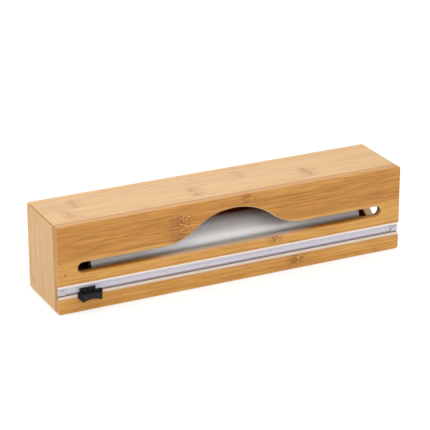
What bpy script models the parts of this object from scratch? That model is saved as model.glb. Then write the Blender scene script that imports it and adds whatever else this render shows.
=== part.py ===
# Cling film dispenser: a glued bamboo box that holds a roll of film, with a film slot, a finger arch
# and a clear rail on its front, along which a small black cutter slides.
# Metres, +Z up. The front faces -Y, the length lies along X, and the origin is under the middle of the box.
import math

import bmesh
import bpy
from mathutils import Matrix, Vector

MM = 0.001

# The film roll, which lies loose on the floor of the box
FILM_WIDTH = 293 * MM
FILM_BUILD = 4.4 * MM
FILM_EDGE_STEP = 0.2 * MM
CORE_RADIUS = 17.4 * MM
CORE_WALL = 1.6 * MM
CORE_PROUD = 0.3 * MM
CORE_GAP = 0.2 * MM
ROLL_OFF_CENTRE = 4.15 * MM
REST_GAP = 0.3 * MM

# The bamboo box, with its inside given as the room around the roll
ROLL_END_ROOM = 29.2 * MM
ROLL_FRONT_ROOM = 11.9 * MM
ROLL_BACK_ROOM = 3.1 * MM
FRONT_THICKNESS = 8 * MM
BACK_THICKNESS = 8 * MM
TOP_THICKNESS = 8 * MM
BOTTOM_THICKNESS = 8 * MM
END_THICKNESS = 9 * MM
CORNER_RADIUS = 2.6 * MM
ARRIS_ROUND = 1.1 * MM
SEAM_ROUND = 0.35 * MM
GLUE_GAP = 0.2 * MM

# The front's openings, from the rail up: the film slot and the finger arch above its middle
SLOT_ABOVE_RAIL = 10.1 * MM
SLOT_HEIGHT = 10.6 * MM
SLOT_INSET = 21.3 * MM
SLOT_ROUND = 2 * MM
ARCH_RISE = 27 * MM
ARCH_CROWN_RADIUS = 65 * MM
ARCH_FOOT_RADIUS = 51 * MM
ARCH_COVER = 12.1 * MM

# The round hole in the right end, where a new roll goes in
ROLL_HOLE_EASE = 6 * MM
ROLL_HOLE_ROUND = 0.8 * MM

# The clear rail: a channel with an open slit between a broad upper lip and a narrow lower lip,
# and a closed cell above the channel
RAIL_FLOOR = 15 * MM
RAIL_HEIGHT = 13.7 * MM
RAIL_WALL = 0.8 * MM
RAIL_LIP = 0.8 * MM
RAIL_CHANNEL = 1.5 * MM
RAIL_LOWER_LIP = 3.1 * MM
RAIL_SLIT = 1.3 * MM
RAIL_WEB = 0.8 * MM
RAIL_CELL = 3 * MM
RAIL_TOP_WALL = 1.2 * MM
RAIL_CROWN = 0.25 * MM
RAIL_SETBACK = 0.4 * MM
RAIL_END_GAP = 0.8 * MM
RAIL_FIT = 0.15 * MM
RAIL_ROUND = 0.18 * MM
TAPE_THICKNESS = 0.5 * MM
TAPE_MARGIN = 1 * MM
TAPE_FIT = 0.12 * MM
STOP_LENGTH = 7 * MM
STOP_FIT = 0.15 * MM

# The cutter that slides on the rail: a grip outside, a shoe in the channel and a blade through the slit
CUTTER_FROM_LEFT = 32.1 * MM
SLIDE_GAP = 0.3 * MM
GRIP_LENGTH = 24.8 * MM
GRIP_ABOVE_SLIT = 2.1 * MM
GRIP_BELOW_SLIT = 4.5 * MM
GRIP_PLATE = 1.3 * MM
GRIP_REACH = 7 * MM
GRIP_NOSE_LENGTH = 19 * MM
GRIP_NOSE_DROP = 1.4 * MM
GRIP_HORN_DROP = 3.2 * MM
GRIP_ARCH = 2.8 * MM
GRIP_ROUND = 0.6 * MM
SHOE_LENGTH = 16 * MM
SHOE_OFF_CENTRE = 1.3 * MM
SHOE_ROUND = 0.15 * MM
NECK_LENGTH = 5 * MM
NECK_THICKNESS = 0.8 * MM
NECK_IN_GRIP = 1 * MM
BLADE_LENGTH = 13 * MM
BLADE_THICKNESS = 0.4 * MM
BLADE_IN_GRIP = 2.2 * MM
BLADE_SLANT = 2 * MM
BLADE_TIP_GAP = 0.3 * MM
POCKET_GAP = 0.12 * MM

# Working values of the modelling itself
CUT_OVERRUN = 3 * MM
WELD = 0.01 * MM
FLAT_ANGLE = math.radians(0.5)
SMOOTH_ANGLE = math.radians(35)
CORNER_STEPS = 4
SLOT_END_STEPS = 12
HOLE_STEPS = 72
FILM_STEPS = 90
ARCH_STEPS = 12
CROWN_STEPS = 6
GRIP_ARCH_STEPS = 10
GRIP_SECTIONS = 6

# How far the grip's flare has come at its nose, as a power of the way out
FLARE_POWER = 1.5

# Places that follow from the sizes
FILM_RADIUS = CORE_RADIUS + CORE_GAP + FILM_BUILD
LENGTH = FILM_WIDTH + 2 * (CORE_PROUD + ROLL_END_ROOM + END_THICKNESS)
DEPTH = FRONT_THICKNESS + ROLL_FRONT_ROOM + 2 * FILM_RADIUS + ROLL_BACK_ROOM + BACK_THICKNESS
HEIGHT = RAIL_FLOOR + RAIL_HEIGHT + SLOT_ABOVE_RAIL + SLOT_HEIGHT + ARCH_RISE + ARCH_COVER
FRONT_FACE = -DEPTH / 2
BACK_FACE = DEPTH / 2
CHAMBER_FRONT = FRONT_FACE + FRONT_THICKNESS
CHAMBER_BACK = BACK_FACE - BACK_THICKNESS
CHAMBER_TOP = HEIGHT - TOP_THICKNESS
CHAMBER_END = LENGTH / 2 - END_THICKNESS
SLOT_MIDDLE = RAIL_FLOOR + RAIL_HEIGHT + SLOT_ABOVE_RAIL + SLOT_HEIGHT / 2
HOLE_MIDDLE = (BOTTOM_THICKNESS + CHAMBER_TOP) / 2
HOLE_RADIUS = FILM_RADIUS + ROLL_HOLE_EASE
MITRE_GAP = GLUE_GAP / math.sqrt(2)
RAIL_THICKNESS = RAIL_WALL + RAIL_CHANNEL + RAIL_LIP
GROOVE_DEPTH = RAIL_SETBACK + RAIL_THICKNESS + TAPE_THICKNESS + 2 * TAPE_FIT
RAIL_FRONT = FRONT_FACE + RAIL_SETBACK
RAIL_BACK = RAIL_FRONT + RAIL_THICKNESS
RAIL_TOP = RAIL_FLOOR + RAIL_HEIGHT
RAIL_HALF_LENGTH = LENGTH / 2 - RAIL_END_GAP
CHANNEL_FRONT = RAIL_FRONT + RAIL_LIP
CHANNEL_BACK = CHANNEL_FRONT + RAIL_CHANNEL
CHANNEL_LOW = RAIL_FLOOR + RAIL_WALL
CELL_HIGH = RAIL_TOP - RAIL_TOP_WALL
CELL_LOW = CELL_HIGH - RAIL_CELL
CHANNEL_HIGH = CELL_LOW - RAIL_WEB
SLIT_LOW = RAIL_FLOOR + RAIL_LOWER_LIP
SLIT_HIGH = SLIT_LOW + RAIL_SLIT
SLIT_MIDDLE = (SLIT_LOW + SLIT_HIGH) / 2
CUTTER_X = CUTTER_FROM_LEFT - LENGTH / 2
SHOE_X = CUTTER_X - SHOE_OFF_CENTRE
SHOE_FRONT = CHANNEL_FRONT + SLIDE_GAP
SHOE_BACK = CHANNEL_BACK - SLIDE_GAP
GRIP_BACK = FRONT_FACE + RAIL_SETBACK - RAIL_CROWN - SLIDE_GAP
GRIP_NOSE = FRONT_FACE - GRIP_REACH
ROLL_Y = CHAMBER_FRONT + ROLL_FRONT_ROOM + FILM_RADIUS
ROLL_Z = BOTTOM_THICKNESS + REST_GAP + FILM_RADIUS

# How an outline's own axes are turned into the room: seen from the front, from the end, or from above
FRONT_VIEW = (math.pi / 2, 0, 0)
END_VIEW = (math.pi / 2, 0, math.pi / 2)
PLAN_VIEW = (0, 0, 0)


# Helpers

def clear_scene():
    for thing in list(bpy.data.objects):
        bpy.data.objects.remove(thing)


def new_collection(name):
    made = bpy.data.collections.new(name)
    bpy.context.scene.collection.children.link(made)
    return made


def new_material(name, colour, roughness, metallic=0.0, transmission=0.0):
    made = bpy.data.materials.new(name)
    made.use_nodes = True
    shader = made.node_tree.nodes["Principled BSDF"]
    shader.inputs["Base Color"].default_value = (*colour, 1)
    shader.inputs["Roughness"].default_value = roughness
    shader.inputs["Metallic"].default_value = metallic
    shader.inputs["Transmission Weight"].default_value = transmission
    made.diffuse_color = (*colour, 1)
    return made


def arc(centre, radius, start, end, steps):
    """Points on an arc, both ends included, with the angles in degrees."""
    points = []
    for i in range(steps + 1):
        angle = math.radians(start + (end - start) * i / steps)
        points.append((centre[0] + radius * math.cos(angle), centre[1] + radius * math.sin(angle)))
    return points


def circle(radius, steps):
    return arc((0, 0), radius, 0, 360, steps)[:-1]


def tidy_mesh(mesh):
    """Joins the caps to the sides, merges flat triangles and turns all faces out."""
    work = bmesh.new()
    work.from_mesh(mesh)
    bmesh.ops.remove_doubles(work, verts=work.verts, dist=WELD)
    bmesh.ops.dissolve_limit(work, angle_limit=FLAT_ANGLE, verts=work.verts, edges=work.edges)
    bmesh.ops.recalc_face_normals(work, faces=work.faces)
    work.to_mesh(mesh)
    work.free()


def extrude_outline(name, loops, thickness, place, turn, collection):
    """A flat outline, with any holes in it, as a plate whose middle is at its place."""
    curve = bpy.data.curves.new(name, "CURVE")
    curve.dimensions = "2D"
    curve.fill_mode = "BOTH"
    curve.extrude = thickness / 2
    for loop in loops:
        spline = curve.splines.new("POLY")
        spline.points.add(len(loop) - 1)
        for point, (x, y) in zip(spline.points, loop):
            point.co = (x, y, 0, 1)
        spline.use_cyclic_u = True
    drawn = bpy.data.objects.new(name + "_outline", curve)
    collection.objects.link(drawn)
    drawn.location = place
    drawn.rotation_euler = turn
    bpy.context.view_layer.update()
    graph = bpy.context.evaluated_depsgraph_get()
    mesh = bpy.data.meshes.new_from_object(drawn.evaluated_get(graph))
    tidy_mesh(mesh)
    made = bpy.data.objects.new(name, mesh)
    made.matrix_world = drawn.matrix_world
    collection.objects.link(made)
    bpy.data.objects.remove(drawn)
    return made


def box_between(name, low, high, collection):
    bpy.ops.mesh.primitive_cube_add(size=1)
    made = bpy.context.active_object
    made.name = name
    made.data.transform(Matrix.Diagonal((*(Vector(high) - Vector(low)), 1)))
    made.location = (Vector(low) + Vector(high)) / 2
    move_to(made, collection)
    return made


def turned_on_x(name, profile, steps, place, collection):
    """A solid turned about a line along X, from radii and places along that line, largest place first."""
    mesh = bpy.data.meshes.new(name)
    line = [(radius, 0, along) for radius, along in profile]
    mesh.from_pydata(line, [(i, i + 1) for i in range(len(line) - 1)], [])
    made = bpy.data.objects.new(name, mesh)
    collection.objects.link(made)
    made.location = place
    made.rotation_euler = (0, math.pi / 2, 0)
    screw = made.modifiers.new("turn", "SCREW")
    screw.axis = "Z"
    screw.steps = steps
    screw.render_steps = steps
    screw.use_merge_vertices = True
    screw.merge_threshold = WELD
    screw.use_smooth_shade = True
    return made


def loft(name, sections, place, collection):
    """A closed skin over outlines that all have the same number of points."""
    work = bmesh.new()
    rings = [[work.verts.new(point) for point in section] for section in sections]
    for ring, following in zip(rings, rings[1:]):
        for i in range(len(ring)):
            j = (i + 1) % len(ring)
            work.faces.new((ring[i], ring[j], following[j], following[i]))
    work.faces.new(rings[0])
    work.faces.new(rings[-1])
    bmesh.ops.recalc_face_normals(work, faces=work.faces)
    mesh = bpy.data.meshes.new(name)
    work.to_mesh(mesh)
    work.free()
    made = bpy.data.objects.new(name, mesh)
    collection.objects.link(made)
    made.location = place
    return made


def move_to(thing, collection):
    for home in list(thing.users_collection):
        home.objects.unlink(thing)
    collection.objects.link(thing)


def round_edges(piece, width, segments, over_degrees):
    bevel = piece.modifiers.new("round edges", "BEVEL")
    bevel.width = width
    bevel.segments = segments
    bevel.limit_method = "ANGLE"
    bevel.angle_limit = math.radians(over_degrees)


def round_rim(piece, name, y, width, segments):
    """Rounds the corners that run around the flat face of a panel at the given y."""
    bpy.context.view_layer.update()
    work = bmesh.new()
    work.from_mesh(piece.data)
    marks = work.edges.layers.float.new("bevel_weight_" + name)
    for edge in work.edges:
        on_face = all(abs((piece.matrix_world @ vert.co).y - y) < WELD for vert in edge.verts)
        edge[marks] = 1.0 if on_face and edge.calc_face_angle() > SMOOTH_ANGLE else 0.0
    work.to_mesh(piece.data)
    work.free()
    bevel = piece.modifiers.new("round " + name, "BEVEL")
    bevel.width = width
    bevel.segments = segments
    bevel.limit_method = "WEIGHT"
    bevel.edge_weight = "bevel_weight_" + name


def boolean(piece, tool, operation, cutters):
    """Cuts or joins with a mesh that stays in the file as a hidden wire shape."""
    move_to(tool, cutters)
    tool.hide_render = True
    tool.display_type = "WIRE"
    step = piece.modifiers.new(operation.lower() + " " + tool.name, "BOOLEAN")
    step.operation = operation
    step.solver = "EXACT"
    step.object = tool


def finish(piece, material):
    piece.data.materials.clear()
    piece.data.materials.append(material)
    piece.data.shade_smooth()
    piece.data.set_sharp_from_angle(angle=SMOOTH_ANGLE)
    return piece


# The box

def box_corner(side, top, start, end):
    """Points on one of the box's four rounded corners, in the front view."""
    middle_x = side * (LENGTH / 2 - CORNER_RADIUS)
    middle_z = HEIGHT - CORNER_RADIUS if top else CORNER_RADIUS
    return arc((middle_x, middle_z), CORNER_RADIUS, start, end, CORNER_STEPS)


def shifted(points, x, z):
    return [(point[0] + x, point[1] + z) for point in points]


def box_outline():
    return (box_corner(1, False, 270, 360) + box_corner(1, True, 0, 90)
            + box_corner(-1, True, 90, 180) + box_corner(-1, False, 180, 270))


def slot_section(y, growth):
    """The film slot with round ends, whose upper edge climbs into the finger arch, at one depth."""
    half_height = SLOT_HEIGHT / 2
    end_x = LENGTH / 2 - SLOT_INSET - half_height
    radii = ARCH_CROWN_RADIUS + ARCH_FOOT_RADIUS
    foot_x = math.sqrt(ARCH_RISE * (2 * radii - ARCH_RISE))
    foot_z = SLOT_MIDDLE + half_height + ARCH_FOOT_RADIUS
    crown_z = SLOT_MIDDLE + half_height + ARCH_RISE - ARCH_CROWN_RADIUS
    lean = math.degrees(math.atan2(foot_z - crown_z, foot_x))
    foot_radius = ARCH_FOOT_RADIUS - growth
    points = arc((-end_x, SLOT_MIDDLE), half_height + growth, 90, 270, SLOT_END_STEPS)
    points += arc((end_x, SLOT_MIDDLE), half_height + growth, -90, 90, SLOT_END_STEPS)
    points += arc((foot_x, foot_z), foot_radius, 270, 180 + lean, ARCH_STEPS)
    points += arc((0, crown_z), ARCH_CROWN_RADIUS + growth, lean, 180 - lean, 2 * ARCH_STEPS)[1:]
    points += arc((-foot_x, foot_z), foot_radius, 360 - lean, 270, ARCH_STEPS)[1:]
    return [(x, y, z) for x, z in points]


def make_slot_cutter(cutters):
    """The shape of the slot and arch, which flares at the front to round the opening's edge."""
    sections = [slot_section(CHAMBER_FRONT + CUT_OVERRUN, 0)]
    for across, along in arc((0, 0), SLOT_ROUND, 180, 90, CORNER_STEPS):
        sections.append(slot_section(FRONT_FACE + SLOT_ROUND - along, SLOT_ROUND + across))
    sections.append(slot_section(FRONT_FACE - CUT_OVERRUN, SLOT_ROUND))
    return loft("film_slot", sections, (0, 0, 0), cutters)


def make_front_panel(parts, cutters, material):
    middle = (0, FRONT_FACE + FRONT_THICKNESS / 2, 0)
    panel = extrude_outline("front_panel", [box_outline()], FRONT_THICKNESS, middle, FRONT_VIEW, parts)
    round_rim(panel, "face", FRONT_FACE, ARRIS_ROUND, 3)
    round_rim(panel, "seam", CHAMBER_FRONT, SEAM_ROUND, 1)
    boolean(panel, make_slot_cutter(cutters), "DIFFERENCE", cutters)
    low = (-LENGTH / 2 - CUT_OVERRUN, FRONT_FACE - CUT_OVERRUN, RAIL_FLOOR - RAIL_FIT)
    high = (LENGTH / 2 + CUT_OVERRUN, FRONT_FACE + GROOVE_DEPTH, RAIL_TOP + RAIL_FIT)
    boolean(panel, box_between("rail_groove", low, high, cutters), "DIFFERENCE", cutters)
    return finish(panel, material)


def make_back_panel(parts, material):
    middle = (0, BACK_FACE - BACK_THICKNESS / 2, 0)
    panel = extrude_outline("back_panel", [box_outline()], BACK_THICKNESS, middle, FRONT_VIEW, parts)
    round_rim(panel, "face", BACK_FACE, ARRIS_ROUND, 3)
    round_rim(panel, "seam", CHAMBER_BACK, SEAM_ROUND, 1)
    return finish(panel, material)


def make_frame_board(name, loop, parts, material):
    """One of the four boards between the panels, mitred into its neighbours."""
    width = DEPTH - FRONT_THICKNESS - BACK_THICKNESS - 2 * GLUE_GAP
    middle = (0, (CHAMBER_FRONT + CHAMBER_BACK) / 2, 0)
    board = extrude_outline(name, [loop], width, middle, FRONT_VIEW, parts)
    round_edges(board, SEAM_ROUND, 1, 60)
    return finish(board, material)


def make_frame_boards(parts, cutters, material):
    top = [(MITRE_GAP - CHAMBER_END, CHAMBER_TOP), (CHAMBER_END - MITRE_GAP, CHAMBER_TOP)]
    top += shifted(box_corner(1, True, 45, 90), -MITRE_GAP, 0)
    top += shifted(box_corner(-1, True, 90, 135), MITRE_GAP, 0)
    bottom = [(CHAMBER_END - MITRE_GAP, BOTTOM_THICKNESS), (MITRE_GAP - CHAMBER_END, BOTTOM_THICKNESS)]
    bottom += shifted(box_corner(-1, False, 225, 270), MITRE_GAP, 0)
    bottom += shifted(box_corner(1, False, 270, 315), -MITRE_GAP, 0)
    right = [(CHAMBER_END, CHAMBER_TOP - MITRE_GAP), (CHAMBER_END, BOTTOM_THICKNESS + MITRE_GAP)]
    right += shifted(box_corner(1, False, 315, 360), 0, MITRE_GAP)
    right += shifted(box_corner(1, True, 0, 45), 0, -MITRE_GAP)
    left = [(-x, z) for x, z in right]
    make_frame_board("top_board", top, parts, material)
    make_frame_board("bottom_board", bottom, parts, material)
    make_frame_board("left_end_board", left, parts, material)
    cut_roll_hole(make_frame_board("right_end_board", right, parts, material), cutters)


def cut_roll_hole(board, cutters):
    """The loading hole, whose rim is rounded on both faces of the board."""
    half = END_THICKNESS / 2
    flare = [(HOLE_RADIUS + ROLL_HOLE_ROUND - x, half - ROLL_HOLE_ROUND + y)
             for x, y in arc((0, 0), ROLL_HOLE_ROUND, 90, 0, CORNER_STEPS)]
    wide = flare[0][0]
    profile = [(0, half + CUT_OVERRUN), (wide, half + CUT_OVERRUN)] + flare
    profile += [(radius, -along) for radius, along in reversed(profile)]
    hole = turned_on_x("roll_hole", profile, HOLE_STEPS, (CHAMBER_END + half, 0, HOLE_MIDDLE), cutters)
    boolean(board, hole, "DIFFERENCE", cutters)


# The rail

def make_rail(parts, material):
    reach = (RAIL_TOP - SLIT_HIGH) / 2
    crown_radius = (reach * reach + RAIL_CROWN * RAIL_CROWN) / (2 * RAIL_CROWN)
    swing = math.degrees(math.asin(reach / crown_radius))
    crown_middle = (RAIL_FRONT - RAIL_CROWN + crown_radius, (SLIT_HIGH + RAIL_TOP) / 2)
    section = [(RAIL_FRONT, RAIL_FLOOR), (RAIL_BACK, RAIL_FLOOR), (RAIL_BACK, RAIL_TOP)]
    section += arc(crown_middle, crown_radius, 180 - swing, 180 + swing, CROWN_STEPS)
    section += [(CHANNEL_FRONT, SLIT_HIGH), (CHANNEL_FRONT, CHANNEL_HIGH)]
    section += [(CHANNEL_BACK, CHANNEL_HIGH), (CHANNEL_BACK, CHANNEL_LOW), (CHANNEL_FRONT, CHANNEL_LOW)]
    section += [(CHANNEL_FRONT, SLIT_LOW), (RAIL_FRONT, SLIT_LOW)]
    cell = [(CHANNEL_FRONT, CELL_LOW), (CHANNEL_BACK, CELL_LOW)]
    cell += [(CHANNEL_BACK, CELL_HIGH), (CHANNEL_FRONT, CELL_HIGH)]
    length = 2 * RAIL_HALF_LENGTH
    rail = extrude_outline("cutter_rail", [section, cell], length, (0, 0, 0), END_VIEW, parts)
    round_edges(rail, RAIL_ROUND, 2, 60)
    return finish(rail, material)


def make_rail_tape(parts, material):
    low = (TAPE_MARGIN - RAIL_HALF_LENGTH, RAIL_BACK + TAPE_FIT, RAIL_FLOOR + TAPE_MARGIN)
    high = (RAIL_HALF_LENGTH - TAPE_MARGIN, RAIL_BACK + TAPE_FIT + TAPE_THICKNESS, RAIL_TOP - TAPE_MARGIN)
    return finish(box_between("rail_tape", low, high, parts), material)


def make_rail_stop(name, side, parts, material):
    """A strip glued in behind the upper lip at one end of the rail, which leaves the slit open."""
    outer, inner = RAIL_HALF_LENGTH, RAIL_HALF_LENGTH - STOP_LENGTH
    low = (min(side * outer, side * inner), CHANNEL_FRONT + STOP_FIT, SLIT_HIGH)
    high = (max(side * outer, side * inner), CHANNEL_BACK - STOP_FIT, CHANNEL_HIGH - STOP_FIT)
    return finish(box_between(name, low, high, parts), material)


# The cutter

def grip_section(way_out):
    """The grip's outline at a share of its reach: it narrows, drops and grows an arched lower edge."""
    flare = way_out ** FLARE_POWER
    half = (GRIP_LENGTH + (GRIP_NOSE_LENGTH - GRIP_LENGTH) * way_out) / 2
    high = GRIP_ABOVE_SLIT - GRIP_NOSE_DROP * way_out
    low = -GRIP_BELOW_SLIT - GRIP_HORN_DROP * flare
    y = GRIP_BACK - GRIP_PLATE + (GRIP_NOSE - GRIP_BACK + GRIP_PLATE) * way_out
    points = [(-half, y, high), (half, y, high)]
    for i in range(GRIP_ARCH_STEPS + 1):
        across = 1 - 2 * i / GRIP_ARCH_STEPS
        points.append((across * half, y, low + GRIP_ARCH * flare * (1 - across * across)))
    return points


def make_grip(parts, cutters, material):
    sections = [grip_section(i / GRIP_SECTIONS) for i in range(GRIP_SECTIONS + 1)]
    back = [(x, GRIP_BACK, z) for x, y, z in sections[0]]
    grip = loft("cutter_grip", [back] + sections, (CUTTER_X, 0, SLIT_MIDDLE), parts)
    round_edges(grip, GRIP_ROUND, 3, 50)
    pocket = blade_pocket("blade_pocket", BLADE_LENGTH, BLADE_THICKNESS, BLADE_IN_GRIP, cutters)
    boolean(grip, pocket, "DIFFERENCE", cutters)
    pocket = blade_pocket("neck_pocket", NECK_LENGTH, NECK_THICKNESS, NECK_IN_GRIP, cutters)
    boolean(grip, pocket, "DIFFERENCE", cutters)
    return finish(grip, material)


def blade_pocket(name, length, thickness, depth, cutters):
    """A slot in the back of the grip, a little larger than what it holds."""
    half = length / 2 + POCKET_GAP
    rise = thickness / 2 + POCKET_GAP
    low = (SHOE_X - half, GRIP_BACK - depth - POCKET_GAP, SLIT_MIDDLE - rise)
    high = (SHOE_X + half, GRIP_BACK + CUT_OVERRUN, SLIT_MIDDLE + rise)
    return box_between(name, low, high, cutters)


def make_shoe(parts, cutters, material):
    """The flat runner in the channel, with the neck that reaches out through the slit into the grip."""
    half = SHOE_LENGTH / 2
    low = (SHOE_X - half, SHOE_FRONT, CHANNEL_LOW + SLIDE_GAP)
    high = (SHOE_X + half, SHOE_BACK, CHANNEL_HIGH - SLIDE_GAP)
    shoe = box_between("cutter_shoe", low, high, parts)
    round_edges(shoe, SHOE_ROUND, 2, 60)
    low = (SHOE_X - NECK_LENGTH / 2, GRIP_BACK - NECK_IN_GRIP, SLIT_MIDDLE - NECK_THICKNESS / 2)
    high = (SHOE_X + NECK_LENGTH / 2, (SHOE_FRONT + SHOE_BACK) / 2, SLIT_MIDDLE + NECK_THICKNESS / 2)
    boolean(shoe, box_between("shoe_neck", low, high, cutters), "UNION", cutters)
    return finish(shoe, material)


def make_blade(parts, material):
    """A flat steel blade with slanted ends, held in the grip and forked around the neck."""
    half = BLADE_LENGTH / 2
    fork = NECK_LENGTH / 2 + POCKET_GAP
    held = GRIP_BACK - BLADE_IN_GRIP
    tip = SHOE_FRONT - BLADE_TIP_GAP
    throat = GRIP_BACK - NECK_IN_GRIP - POCKET_GAP
    outline = [(-half, held), (half, held), (half, GRIP_BACK), (half - BLADE_SLANT, tip), (fork, tip)]
    outline += [(fork, throat), (-fork, throat), (-fork, tip), (BLADE_SLANT - half, tip)]
    outline += [(-half, GRIP_BACK)]
    place = (SHOE_X, 0, SLIT_MIDDLE)
    blade = extrude_outline("cutter_blade", [outline], BLADE_THICKNESS, place, PLAN_VIEW, parts)
    return finish(blade, material)


# The film roll

def make_film_core(parts, material):
    loops = [circle(CORE_RADIUS, FILM_STEPS), circle(CORE_RADIUS - CORE_WALL, FILM_STEPS)]
    place = (ROLL_OFF_CENTRE, ROLL_Y, ROLL_Z)
    core = extrude_outline("film_core", loops, FILM_WIDTH + 2 * CORE_PROUD, place, END_VIEW, parts)
    return finish(core, material)


def make_film_winding(parts, material):
    """The film on its core: the outer turn ends in a low step, a little above the film slot."""
    outer = []
    for i in range(FILM_STEPS + 1):
        turn = i / FILM_STEPS
        angle = math.pi * (1 - 2 * turn) - math.pi / 3
        radius = FILM_RADIUS - FILM_EDGE_STEP * turn
        outer.append((radius * math.cos(angle), radius * math.sin(angle)))
    place = (ROLL_OFF_CENTRE, ROLL_Y, ROLL_Z)
    loops = [outer, circle(CORE_RADIUS + CORE_GAP, FILM_STEPS)]
    winding = extrude_outline("film_winding", loops, FILM_WIDTH, place, END_VIEW, parts)
    return finish(winding, material)


def build():
    clear_scene()
    parts = new_collection("cling_film_dispenser")
    cutters = new_collection("cutters")
    bamboo = new_material("laminated bamboo", (0.58, 0.29, 0.1), 0.5)
    clear_plastic = new_material("clear extruded plastic", (0.62, 0.6, 0.7), 0.2, transmission=0.4)
    tape = new_material("double-sided tape", (0.8, 0.8, 0.78), 0.6)
    black_plastic = new_material("black moulded plastic", (0.012, 0.012, 0.013), 0.35)
    steel = new_material("blade steel", (0.6, 0.6, 0.6), 0.25, metallic=1.0)
    card = new_material("grey card", (0.3, 0.24, 0.18), 0.9)
    film = new_material("cling film", (0.6, 0.55, 0.52), 0.15, transmission=0.2)
    make_front_panel(parts, cutters, bamboo)
    make_back_panel(parts, bamboo)
    make_frame_boards(parts, cutters, bamboo)
    make_rail(parts, clear_plastic)
    make_rail_tape(parts, tape)
    make_rail_stop("rail_stop_left", -1, parts, clear_plastic)
    make_rail_stop("rail_stop_right", 1, parts, clear_plastic)
    make_grip(parts, cutters, black_plastic)
    make_shoe(parts, cutters, black_plastic)
    make_blade(parts, steel)
    make_film_core(parts, card)
    make_film_winding(parts, film)


build()
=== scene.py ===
import math

import bmesh
import bpy
from mathutils import Matrix, Vector


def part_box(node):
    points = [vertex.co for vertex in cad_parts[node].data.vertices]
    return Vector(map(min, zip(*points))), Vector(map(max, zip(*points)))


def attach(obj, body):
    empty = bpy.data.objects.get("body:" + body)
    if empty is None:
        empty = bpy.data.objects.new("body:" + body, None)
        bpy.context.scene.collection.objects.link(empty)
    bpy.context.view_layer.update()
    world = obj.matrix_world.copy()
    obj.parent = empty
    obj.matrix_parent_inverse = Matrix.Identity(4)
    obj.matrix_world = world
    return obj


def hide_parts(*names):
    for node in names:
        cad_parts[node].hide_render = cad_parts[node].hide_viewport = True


# Looks of the cling film dispenser. X runs along the box, its front faces -Y, and it stands on Z = 0.
# Sizes in the dictionaries are real millimetres, and those of the view and the studio are metres.
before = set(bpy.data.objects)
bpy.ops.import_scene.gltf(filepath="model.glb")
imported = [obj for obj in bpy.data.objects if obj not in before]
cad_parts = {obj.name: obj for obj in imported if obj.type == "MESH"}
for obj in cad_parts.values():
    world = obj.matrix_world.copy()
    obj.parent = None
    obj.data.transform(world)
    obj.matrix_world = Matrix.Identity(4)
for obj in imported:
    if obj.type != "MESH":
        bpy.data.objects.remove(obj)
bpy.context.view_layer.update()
scene = bpy.context.scene
mm = 0.001
noiseMiddle, noiseSpan = 0.5, (0.3, 0.7)  # a noise's values lie about the one, and mostly between the others
print("frame loaded:", len(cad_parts), "pieces")


def hexColour(text):
    channels = [int(text[i:i + 2], 16) / 255 for i in (1, 3, 5)]
    return (*[c / 12.92 if c <= 0.04045 else ((c + 0.055) / 1.055) ** 2.4 for c in channels], 1)


def addNode(tree, kind, inputs=(), **settings):
    # inputs go by name or number, or as a list in the node's own order; a node among them gives its first output
    node = tree.nodes.new("ShaderNode" + kind)
    for name, value in settings.items():
        setattr(node, name, value)
    for socket, value in inputs.items() if isinstance(inputs, dict) else enumerate(inputs):
        if isinstance(value, bpy.types.Node):
            value = value.outputs[0]
        if isinstance(value, bpy.types.NodeSocket):
            tree.links.new(value, node.inputs[socket])
        else:
            node.inputs[socket].default_value = value
    return node


def combineMasks(tree, operation, masks):
    # any number of masks taken together, a pair at a time
    whole = masks[0]
    for mask in masks[1:]:
        whole = addNode(tree, "Math", [whole, mask], operation=operation)
    return whole


def withinBox(tree, axes, box):
    sides = []
    for axis, start, end in box:
        sides.append(addNode(tree, "Math", [axes[axis], start], operation="GREATER_THAN"))
        sides.append(addNode(tree, "Math", [axes[axis], end], operation="LESS_THAN"))
    return combineMasks(tree, "MULTIPLY", sides)


def distanceFrom(tree, first, second, spot):
    # how far a point lies from a spot, measured in the plane of two axes
    point = addNode(tree, "CombineXYZ", [first, second])
    return addNode(tree, "VectorMath", [point, (*spot, 0)], operation="DISTANCE").outputs["Value"]


def layColours(tree, under, layers):
    # each colour lies over what is below it by its share
    for share, colour in layers:
        colour = hexColour(colour) if isinstance(colour, str) else colour
        under = addNode(tree, "Mix", {0: share, 6: under, 7: colour}, data_type="RGBA").outputs[2]
    return under


def setStops(ramp, stops):
    # the first and the last stop take the two that a new ramp has
    for element, (at, colour) in zip(ramp.elements, (stops[0], stops[-1])):
        element.position, element.color = at, colour
    for at, colour in stops[1:-1]:
        ramp.elements.new(at).color = colour


def newMaterial(name):
    material = bpy.data.materials.new(name)
    material.use_nodes = True
    tree = material.node_tree
    tree.nodes.clear()
    return material, tree


def placeInMm(tree):
    place = addNode(tree, "TexCoord").outputs["Object"]
    return addNode(tree, "VectorMath", {0: place, "Scale": 1 / mm}, operation="SCALE")


def surfaceFacing(tree):
    # the X, Y and Z of the direction that a surface faces
    return addNode(tree, "SeparateXYZ", [addNode(tree, "TexCoord").outputs["Normal"]]).outputs


def dressNode(name, material):
    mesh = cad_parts[name].data
    mesh.materials.clear()
    mesh.materials.append(material)


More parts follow.
